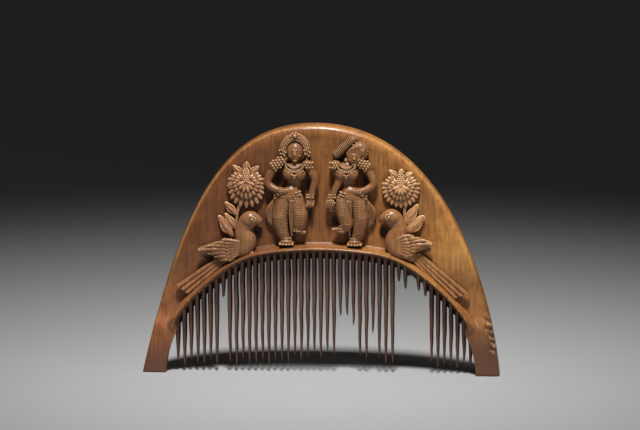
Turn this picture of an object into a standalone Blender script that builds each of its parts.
"""Arched hair comb with a row of sawn teeth and a carved relief of two dancers, two birds and two flowers.

The comb stands on its two end feet. X runs along the tooth row, Z is up and the carved front faces -Y.
"""
import math

import bmesh
import bpy
from mathutils import Matrix, Vector

for old in list(bpy.data.objects):
    bpy.data.objects.remove(old, do_unlink=True)

# Blank: overall size in metres, and the small gap left between members
COMB_WIDTH = 0.1000
COMB_HEIGHT = 0.0702
BLANK_DEPTH = 0.0085
SEAT_GAP = 0.0003

# Outline: each flank is one Bezier sweep from the foot corner up to the crown
CROWN_SHIFT = -0.0015
LEFT_RISE = 0.0520
LEFT_LEAN = 0.0117
LEFT_REACH = 0.0238
RIGHT_RISE = 0.0165
RIGHT_LEAN = 0.0015
RIGHT_REACH = 0.0391
EDGE_ROUND = 0.0013

# Arch of the tooth roots, and the rounded ledge that follows it on the front
FOOT_WIDTH = 0.0067
ROOT_HEIGHT = 0.0320
LEDGE_OUT_SIDE = 0.0022
LEDGE_OUT_TOP = 0.0036
LEDGE_THICKNESS = 0.0011
LEDGE_SLOPE = 0.0007

# Front surfaces, measured back from the nose of the ledge
FIELD_SINK = 0.0040
BORDER_SINK = 0.0036
FOOT_SINK = 0.0020
ROOT_SINK = 0.0030
BACK_BEVEL = 0.0018
BORDER_WIDTH = 0.0015
RIM_SLOPE_CROWN = 0.0008
RIM_SLOPE_SIDE = 0.0025
FOOT_HEIGHT = 0.0113
FOOT_SCOOP = 0.0038
STATIONS = 64

# Tooth row: worn teeth run nearly to the floor, snapped ones keep a stub, one is lost at the root
TOOTH_COUNT = 46
END_SLOT_LEFT = 0.0023
END_SLOT_RIGHT = 0.0006
SAW_SLOT = 0.00043
ROOT_DEPTH = 0.0032
TIP_WIDTH = 0.00045
TIP_DEPTH = 0.0011
TIP_RISE = 0.0025
TIP_WEAR = 0.0026
TIP_JITTER = 0.0009
LOST_TEETH = (37,)
STUB_LENGTHS = {
    8: 0.0043,
    26: 0.0158,
    27: 0.0156,
    28: 0.0182,
    31: 0.0198,
    35: 0.0028,
    36: 0.0038,
    38: 0.0019,
    39: 0.0022,
}

# Relief: the two halves mirror each other and are set out from the centre line
CENTRE_GAP = 0.0006
CARVING_GAP = 0.0006
BIRD_HEIGHT = 0.0134
FLOWER_RADIUS = 0.0052
PETALS_OUTER = 12
PETALS_INNER = 8
LEAF_WIDTH = 0.0016
TAIL_CLEAR = 0.0071
TAIL_LIFT = 0.0016
TAIL_RIB_PITCH = 0.0011

ROOT_HALF_SPAN = COMB_WIDTH / 2 - FOOT_WIDTH
FRONT_Y = -BLANK_DEPTH / 2
BACK_Y = BLANK_DEPTH / 2
FIELD_Y = FRONT_Y + FIELD_SINK
BORDER_Y = FRONT_Y + BORDER_SINK
FOOT_Y = FRONT_Y + FOOT_SINK
ROOT_Y = FRONT_Y + ROOT_SINK
ROOT_BACK_Y = ROOT_Y + ROOT_DEPTH
RELIEF = FIELD_SINK - SEAT_GAP


def mix(a, b, t):
    return a + (b - a) * t


def ease(t):
    t = min(1.0, max(0.0, t))
    return t * t * (3 - 2 * t)


def oval(half_span, height, angle):
    """Distance from the base centre to an upright half oval along one ray."""
    return 1 / math.hypot(math.cos(angle) / half_span, math.sin(angle) / height)


def oval_height(half_span, height, x):
    return height * math.sqrt(max(0.0, 1 - (x / half_span) ** 2))


def outline_point(side, t):
    rise, lean, reach = LEFT_RISE, LEFT_LEAN, LEFT_REACH
    if side > 0:
        rise, lean, reach = RIGHT_RISE, RIGHT_LEAN, RIGHT_REACH
    foot = Vector((side * COMB_WIDTH / 2, 0.0))
    crown = Vector((CROWN_SHIFT, COMB_HEIGHT))
    flank = foot + Vector((-side * lean, rise))
    shoulder = crown + Vector((side * reach, 0.0))
    s = 1 - t
    return foot * s ** 3 + flank * 3 * s * s * t + shoulder * 3 * s * t * t + crown * t ** 3


def outline_reach(angle):
    """Distance from the base centre to the outer edge along one ray."""
    crown_angle = math.atan2(COMB_HEIGHT, CROWN_SHIFT)
    side = 1 if angle <= crown_angle else -1
    low, high = 0.0, 1.0
    for step in range(40):
        middle = (low + high) / 2
        point = outline_point(side, middle)
        beyond = math.atan2(point.y, point.x) > angle
        if beyond == (side > 0):
            high = middle
        else:
            low = middle
    return outline_point(side, (low + high) / 2).length


LEDGE_SPAN = ROOT_HALF_SPAN + LEDGE_OUT_SIDE
LEDGE_RISE = ROOT_HEIGHT + LEDGE_OUT_TOP
SHELF_OUT = LEDGE_THICKNESS / 2 + LEDGE_SLOPE
WEB_DROP = (LEDGE_THICKNESS + LEDGE_SLOPE) / 2
SHELF_SPAN = LEDGE_SPAN + SHELF_OUT
SHELF_RISE = LEDGE_RISE + SHELF_OUT


def rim_slope(angle):
    """Width of the shallow rise from the field to the rim, which is steepest at the crown."""
    return mix(RIM_SLOPE_SIDE, RIM_SLOPE_CROWN, math.sin(angle) ** 2)


def worked(angle):
    """0 on the plain feet, 1 where the ledge and the sunk field are fully formed."""
    return ease((oval(ROOT_HALF_SPAN, ROOT_HEIGHT, angle) * math.sin(angle) - FOOT_HEIGHT) / FOOT_SCOOP)


def ivory(name, colour, roughness):
    material = bpy.data.materials.new(name)
    material.use_nodes = True
    shader = material.node_tree.nodes["Principled BSDF"]
    shader.inputs["Base Color"].default_value = (*colour, 1.0)
    shader.inputs["Roughness"].default_value = roughness
    shader.inputs["Metallic"].default_value = 0.0
    return material


def finish(name, mesh_data, colour, roughness=0.42):
    bmesh.ops.recalc_face_normals(mesh_data, faces=mesh_data.faces)
    mesh = bpy.data.meshes.new(name)
    mesh_data.to_mesh(mesh)
    mesh_data.free()
    mesh.materials.append(ivory(name, colour, roughness))
    piece = bpy.data.objects.new(name, mesh)
    bpy.context.collection.objects.link(piece)
    return piece


def skin(mesh_data, rings):
    """Close a row of equal rings into one body."""
    loops = [[mesh_data.verts.new(point) for point in ring] for ring in rings]
    count = len(loops[0])
    for near, far in zip(loops, loops[1:]):
        for i in range(count):
            j = (i + 1) % count
            mesh_data.faces.new((near[i], near[j], far[j], far[i]))
    mesh_data.faces.new(loops[0])
    mesh_data.faces.new(list(reversed(loops[-1])))


# Comb back: feet, arch, ledge, sunk field and low rim, as one section swept round the arch. The saw
# slots end on a slope, high under the ledge in front and low at the back.
def back_section(angle):
    root = oval(ROOT_HALF_SPAN, ROOT_HEIGHT, angle)
    nose = oval(LEDGE_SPAN, LEDGE_RISE, angle)
    shelf = oval(SHELF_SPAN, SHELF_RISE, angle)
    outer = outline_reach(angle)
    border = outer - BORDER_WIDTH
    half = LEDGE_THICKNESS / 2
    share = worked(angle)
    carved = (
        (nose - WEB_DROP, ROOT_Y),
        (nose - half, FRONT_Y + LEDGE_SLOPE),
        (nose - half / 2, FRONT_Y),
        (nose + half / 2, FRONT_Y),
        (nose + half, FRONT_Y + LEDGE_SLOPE),
        (shelf, FIELD_Y),
        (border - rim_slope(angle), FIELD_Y),
        (border, BORDER_Y),
    )
    plain_end = outer - 1.5 * EDGE_ROUND
    profile = []
    for i, (reach, y) in enumerate(carved):
        plain = mix(root, plain_end, i / (len(carved) - 1))
        profile.append((mix(plain, reach, share), mix(FOOT_Y, y, share)))
    edge_y = mix(FOOT_Y, BORDER_Y, share)
    soft = EDGE_ROUND * (1 - math.sqrt(0.5))
    profile += [
        (outer - EDGE_ROUND, edge_y),
        (outer - soft, edge_y + soft),
        (outer, edge_y + EDGE_ROUND),
        (outer, BACK_Y - EDGE_ROUND),
        (outer - soft, BACK_Y - soft),
        (outer - EDGE_ROUND, BACK_Y),
        (root + BACK_BEVEL, BACK_Y),
        (root, ROOT_BACK_Y),
    ]
    return [Vector((reach * math.cos(angle), y, reach * math.sin(angle))) for reach, y in profile]


back = bmesh.new()
skin(back, [back_section(math.pi * i / STATIONS) for i in range(STATIONS + 1)])
finish("comb_back", back, (0.30, 0.115, 0.032))

# Teeth: each is sawn square from the blank and tapered both ways to a blunt point
TOOTH_PITCH = (2 * ROOT_HALF_SPAN - END_SLOT_LEFT - END_SLOT_RIGHT) / TOOTH_COUNT
TOOTH_WIDTH = TOOTH_PITCH - SAW_SLOT


def root_seat(x):
    """Front and back heights of a tooth top that stays one seat gap inside the sloped root."""
    back = oval_height(ROOT_HALF_SPAN - SEAT_GAP, ROOT_HEIGHT - SEAT_GAP, x)
    drop = WEB_DROP + SEAT_GAP
    front = oval_height(LEDGE_SPAN - drop, LEDGE_RISE - drop, x)
    return mix(back, front, worked(math.atan2(back, x))), back


def tooth_ring(x, z_tip, share, tilt):
    width = mix(TOOTH_WIDTH, TIP_WIDTH, share ** 1.6)
    depth = mix(ROOT_DEPTH, TIP_DEPTH, share)
    y = mix((ROOT_Y + ROOT_BACK_Y) / 2, ROOT_BACK_Y - TIP_DEPTH, share)
    cut = 0.22 * min(width, depth)
    corners = (
        (-width / 2, -depth / 2 + cut),
        (-width / 2 + cut, -depth / 2),
        (width / 2 - cut, -depth / 2),
        (width / 2, -depth / 2 + cut),
        (width / 2, depth / 2 - cut),
        (width / 2 - cut, depth / 2),
        (-width / 2 + cut, depth / 2),
        (-width / 2, depth / 2 - cut),
    )
    ring = []
    for dx, dy in corners:
        front, back = root_seat(x + dx)
        top = mix(front, back, dy / depth + 0.5)
        ring.append(Vector((x + dx, y + dy, mix(top, z_tip + tilt * dx, share))))
    return ring


for number in range(1, TOOTH_COUNT + 1):
    if number in LOST_TEETH:
        continue
    x = -ROOT_HALF_SPAN + END_SLOT_LEFT + (number - 0.5) * TOOTH_PITCH
    top = min(root_seat(x - TOOTH_WIDTH / 2)[1], root_seat(x + TOOTH_WIDTH / 2)[1])
    middle = (number - 0.54 * TOOTH_COUNT) / (0.15 * TOOTH_COUNT)
    z_tip = TIP_RISE + TIP_WEAR * math.exp(-middle * middle) + TIP_JITTER * math.sin(2.4 * number)
    z_tip = min(z_tip, top - TIP_WIDTH)
    length = top - z_tip
    if number in STUB_LENGTHS:
        end = min(0.9, STUB_LENGTHS[number] / length)
        shares = (0.0, end * 0.5, end)
        tilt = 0.5 if number % 2 else -0.5
    else:
        shares = (0.0, 0.5, 0.93, 1.0)
        tilt = 0.0
    tooth = bmesh.new()
    skin(tooth, [tooth_ring(x, z_tip, share, tilt) for share in shares])
    finish(f"tooth_{number:02d}", tooth, (0.17, 0.055, 0.020), 0.5)

# Relief stock: the raised material left standing on the field, from which every figure is cut
stock = bmesh.new()
stock_rings = []
for i in range(STATIONS * 2 + 1):
    angle = math.pi * i / (STATIONS * 2)
    if worked(angle) < 1:
        continue
    inner = oval(SHELF_SPAN, SHELF_RISE, angle) + SEAT_GAP
    outer = outline_reach(angle) - BORDER_WIDTH - rim_slope(angle) - SEAT_GAP
    across = Vector((math.cos(angle), 0.0, math.sin(angle)))
    ring = []
    seat_y = FIELD_Y - SEAT_GAP
    for reach, y in ((inner, FRONT_Y), (outer, FRONT_Y), (outer, seat_y), (inner, seat_y)):
        ring.append(across * reach + Vector((0.0, y, 0.0)))
    stock_rings.append(ring)
skin(stock, stock_rings)
stock = finish("relief_stock", stock, (0.5, 0.5, 0.5))
stock.hide_render = True
stock.display_type = "WIRE"


def add_ball(lumps, centre, radii, lean=0.0, around=8, down=5):
    """An egg-shaped lump; the radii run across, forward and up before it leans."""
    turn = Matrix.Translation(centre) @ Matrix.Rotation(lean, 4, "Y") @ Matrix.Diagonal((*radii, 1.0))
    bmesh.ops.create_uvsphere(lumps, u_segments=around, v_segments=down, radius=1.0, matrix=turn)


def add_limb(lumps, points, radii, around=7):
    """A round limb through the points, closed by blunt ends."""
    rings = []
    for i, (point, radius) in enumerate(zip(points, radii)):
        run = (points[min(i + 1, len(points) - 1)] - points[max(i - 1, 0)]).normalized()
        flat = run.cross(Vector((0.0, 1.0, 0.0))).normalized()
        front = run.cross(flat)
        places = [(point, radius)]
        if i == 0:
            places.insert(0, (point - run * radius * 0.7, radius * 0.6))
        if i == len(points) - 1:
            places.append((point + run * radius * 0.7, radius * 0.6))
        for middle, size in places:
            ring = []
            for j in range(around):
                a = 2 * math.pi * (j + 0.5) / around
                ring.append(middle + flat * math.cos(a) * size + front * math.sin(a) * size)
            rings.append(ring)
    body = bmesh.new()
    skin(body, rings)
    bmesh.ops.recalc_face_normals(body, faces=body.faces)
    copy = bpy.data.meshes.new("limb")
    body.to_mesh(copy)
    body.free()
    lumps.from_mesh(copy)
    bpy.data.meshes.remove(copy)


def carve(name, lumps, colour):
    """Trim the joined lumps to the relief stock, which leaves one closed carving."""
    piece = finish(name, lumps, colour, 0.36)
    trim = piece.modifiers.new("trim", "BOOLEAN")
    trim.operation = "INTERSECT"
    trim.solver = "EXACT"
    trim.use_self = True
    trim.object = stock
    return piece


# Setting out of the relief, from the centre line outwards
INNER_SHARE, OUTER_SHARE, LOW_SHARE, BEAK_SHARE = (0.272, 0.245, 0.205, 0.33)
CROWN_LIP = COMB_HEIGHT - BORDER_WIDTH - RIM_SLOPE_CROWN - SEAT_GAP
DANCER_HEIGHT = CROWN_LIP - SHELF_RISE - SEAT_GAP
DANCER_AXIS = CENTRE_GAP / 2 + INNER_SHARE * DANCER_HEIGHT
DANCER_EDGE = DANCER_AXIS + OUTER_SHARE * DANCER_HEIGHT
BIRD_AXIS = DANCER_AXIS + LOW_SHARE * DANCER_HEIGHT + CARVING_GAP + BEAK_SHARE * BIRD_HEIGHT
BIRD_BASE = oval_height(SHELF_SPAN, SHELF_RISE, BIRD_AXIS)
FLOWER_AXIS = DANCER_EDGE + CARVING_GAP + FLOWER_RADIUS
FLOWER_Z = BIRD_BASE + BIRD_HEIGHT + CARVING_GAP + FLOWER_RADIUS


def forward(depth):
    """Y of a point raised from the field by a share of the relief height."""
    return FIELD_Y - SEAT_GAP - depth * RELIEF


# Dancers: each faces the centre line, outer hand on the hip, inner arm bent and hanging
def dancer(name, side, crowned):
    lumps = bmesh.new()
    unit = DANCER_HEIGHT
    base = oval_height(SHELF_SPAN, SHELF_RISE, DANCER_AXIS)

    def at(inward, up, depth):
        return Vector((side * (DANCER_AXIS - inward * unit), forward(depth), base + up * unit))

    def ball(inward, up, depth, across, fore, high, lean=0.0, **fineness):
        radii = (across * unit, fore * RELIEF, high * unit)
        add_ball(lumps, at(inward, up, depth), radii, -side * lean, **fineness)

    def limb(places, radii):
        add_limb(lumps, [at(*place) for place in places], [radius * unit for radius in radii])

    # Head, with the face turned to the front, and the neck
    head, brow = (0.049, 0.856) if crowned else (-0.030, 0.832)
    ball(head, brow, 0.42, 0.080, 0.50, 0.088, 0.0 if crowned else -0.15, around=12, down=7)
    ball(head, brow - 0.008, 0.88, 0.016, 0.12, 0.028)
    limb([(head, 0.80, 0.3), (0.035, 0.73, 0.3)], [0.042, 0.050])
    if crowned:
        ball(head, brow + 0.018, 0.12, 0.150, 0.42, 0.118, around=14, down=6)
        ball(head, brow + 0.085, 0.42, 0.060, 0.40, 0.044)
        ball(head, brow + 0.118, 0.36, 0.028, 0.28, 0.030)
        ball(head - 0.115, brow - 0.012, 0.35, 0.036, 0.36, 0.048)
        ball(head + 0.115, brow - 0.012, 0.35, 0.036, 0.36, 0.048)
    else:
        ball(head - 0.050, brow + 0.045, 0.32, 0.098, 0.52, 0.090, 0.45, around=12, down=6)
        roll = [(0.150, 0.825, 0.35), (0.070, 0.893, 0.45), (-0.020, 0.958, 0.35)]
        limb(roll, [0.036, 0.044, 0.034])
        ball(head - 0.098, brow - 0.040, 0.35, 0.036, 0.38, 0.042)
        ball(head + 0.080, brow - 0.035, 0.30, 0.030, 0.34, 0.034)
    # Trunk and hips
    ball(0.042, 0.695, 0.30, 0.118, 0.56, 0.080, around=12, down=7)
    ball(-0.005, 0.662, 0.52, 0.060, 0.42, 0.052)
    ball(0.095, 0.662, 0.52, 0.060, 0.42, 0.052)
    ball(0.030, 0.565, 0.22, 0.078, 0.46, 0.085)
    ball(0.000, 0.455, 0.34, 0.122, 0.58, 0.078, around=12, down=7)
    # Shoulders, arms and hands
    ball(-0.112, 0.748, 0.40, 0.056, 0.46, 0.050, 0.5)
    shoulder, elbow, wrist = (0.165, 0.230, 0.195) if crowned else (0.150, 0.112, 0.180)
    ball(shoulder, 0.745, 0.40, 0.050, 0.44, 0.048, -0.5)
    limb([(-0.13, 0.725, 0.4), (-0.202, 0.575, 0.4), (-0.070, 0.505, 0.68)], [0.042, 0.040, 0.034])
    ball(-0.050, 0.505, 0.66, 0.052, 0.34, 0.036, 0.4)
    limb([(shoulder, 0.73, 0.4), (elbow, 0.625, 0.5), (wrist, 0.430, 0.55)], [0.040, 0.038, 0.030])
    ball(0.190, 0.395, 0.55, 0.046, 0.36, 0.042)
    # Legs in full trousers, the inner foot raised in step, and the sash that hangs from the hip
    limb([(-0.055, 0.44, 0.40), (-0.085, 0.25, 0.52), (-0.045, 0.055, 0.36)], [0.078, 0.076, 0.052])
    hip, knee, heel = ((0.055, 0.43), (0.092, 0.28), (0.080, 0.150))
    if not crowned:
        hip, knee, heel = ((0.075, 0.42), (0.045, 0.23), (0.092, 0.150))
    limb([(*hip, 0.40), (*knee, 0.52), (*heel, 0.40)], [0.072, 0.070, 0.048])
    ball(-0.035, 0.024, 0.42, 0.084, 0.50, 0.034)
    ball(heel[0] + 0.028, heel[1] - 0.020, 0.42, 0.060, 0.48, 0.032)
    limb([(-0.105, 0.46, 0.30), (-0.160, 0.33, 0.26), (-0.162, 0.14, 0.20)], [0.034, 0.038, 0.040])
    carve(name, lumps, (0.40, 0.175, 0.055))


dancer("left_dancer", -1, True)
dancer("right_dancer", 1, False)


# Birds: each perches on the ledge, beak to the centre, with folded wing and a long ribbed tail
def bird(name, side):
    lumps = bmesh.new()
    unit = BIRD_HEIGHT

    def at(outward, up, depth):
        return Vector((side * (BIRD_AXIS + outward * unit), forward(depth), BIRD_BASE + up * unit))

    def limb(places, radii, around=8):
        add_limb(lumps, [at(*place) for place in places], [radius * unit for radius in radii], around)

    add_ball(lumps, at(0.01, 0.82, 0.36), (0.185 * unit, 0.56 * RELIEF, 0.175 * unit), around=10, down=6)
    add_ball(lumps, at(-0.03, 0.86, 0.86), (0.036 * unit, 0.12 * RELIEF, 0.036 * unit), around=8, down=5)
    limb([(-0.12, 0.86, 0.35), (-0.22, 0.83, 0.35), (-0.27, 0.73, 0.30)], [0.078, 0.056, 0.022])
    breast = [(0.06, 0.70, 0.33), (0.02, 0.48, 0.38), (0.05, 0.28, 0.40)]
    rump = [(0.26, 0.16, 0.30), (0.50, 0.02, 0.25)]
    limb(breast + rump, [0.150, 0.180, 0.195, 0.160, 0.100], around=10)
    for i in range(5):
        spread = i / 4
        tip = (mix(0.93, 0.46, spread ** 1.4), mix(0.155, -0.050, spread), mix(0.45, 0.55, spread))
        bend = (mix(0.44, 0.38, spread), mix(0.365, -0.010, spread), 0.66)
        shoulder = (mix(0.08, 0.12, spread), mix(0.340, 0.060, spread), 0.62)
        limb([shoulder, bend, tip], [0.056, 0.066, 0.040], around=6)
    end_z = FOOT_HEIGHT + FOOT_SCOOP + TAIL_CLEAR
    end_x = SHELF_SPAN * math.sqrt(1 - (end_z / SHELF_RISE) ** 2)
    off_shelf = Vector((end_x / SHELF_SPAN ** 2, 0.0, end_z / SHELF_RISE ** 2)).normalized()
    for i in range(4):
        fan = (i - 1.5) * TAIL_RIB_PITCH
        end = Vector((end_x, forward(0.36), end_z)) + off_shelf * (TAIL_LIFT + fan)
        end.x *= side
        start = at(0.44, 0.05, 0.34) + Vector((side * off_shelf.x, 0.0, off_shelf.z)) * fan * 0.7
        add_limb(lumps, [start, end], [0.50 * TAIL_RIB_PITCH, 0.62 * TAIL_RIB_PITCH], around=6)
    carve(name, lumps, (0.36, 0.150, 0.045))


bird("left_bird", -1)
bird("right_bird", 1)


# Flowers: a domed rosette of two petal rings round a seed boss, on a stem with two leaves
def flower(name, side):
    lumps = bmesh.new()
    unit = FLOWER_RADIUS

    def at(outward, up, depth):
        return Vector((side * (FLOWER_AXIS + outward * unit), forward(depth), FLOWER_Z + up * unit))

    for count, reach, size, depth in ((PETALS_OUTER, 0.64, 0.34, 0.22), (PETALS_INNER, 0.37, 0.28, 0.45)):
        for i in range(count):
            a = 2 * math.pi * (i + 0.5) / count
            radii = (size * unit, 0.36 * RELIEF, size * 0.62 * unit)
            centre = at(reach * math.cos(a), reach * math.sin(a), depth)
            add_ball(lumps, centre, radii, -side * a, around=6, down=4)
    add_ball(lumps, at(0.0, 0.0, 0.42), (0.27 * unit, 0.52 * RELIEF, 0.27 * unit), around=10, down=6)
    for i in range(3):
        a = math.radians(62 + 28 * i)
        root = at(0.70 * math.cos(a), 0.70 * math.sin(a), 0.2)
        tip = at(1.02 * math.cos(a), 1.06 * math.sin(a), 0.15)
        add_limb(lumps, [root, tip], [0.15 * unit, 0.05 * unit], around=6)
    fork = at(0.44, -1.95, 0.2)
    add_limb(lumps, [at(0.34, -0.80, 0.2), fork], [0.09 * unit, 0.09 * unit], around=6)
    for outward, up in ((1.05, -1.12), (1.45, -1.62)):
        tip = at(outward, up, 0.25)
        middle = (fork + tip) / 2 + Vector((0.0, -0.15 * RELIEF, 0.0))
        widths = [0.3 * LEAF_WIDTH, 0.5 * LEAF_WIDTH, 0.15 * LEAF_WIDTH]
        add_limb(lumps, [fork, middle, tip], widths, around=6)
    carve(name, lumps, (0.42, 0.185, 0.055))


flower("left_flower", -1)
flower("right_flower", 1)
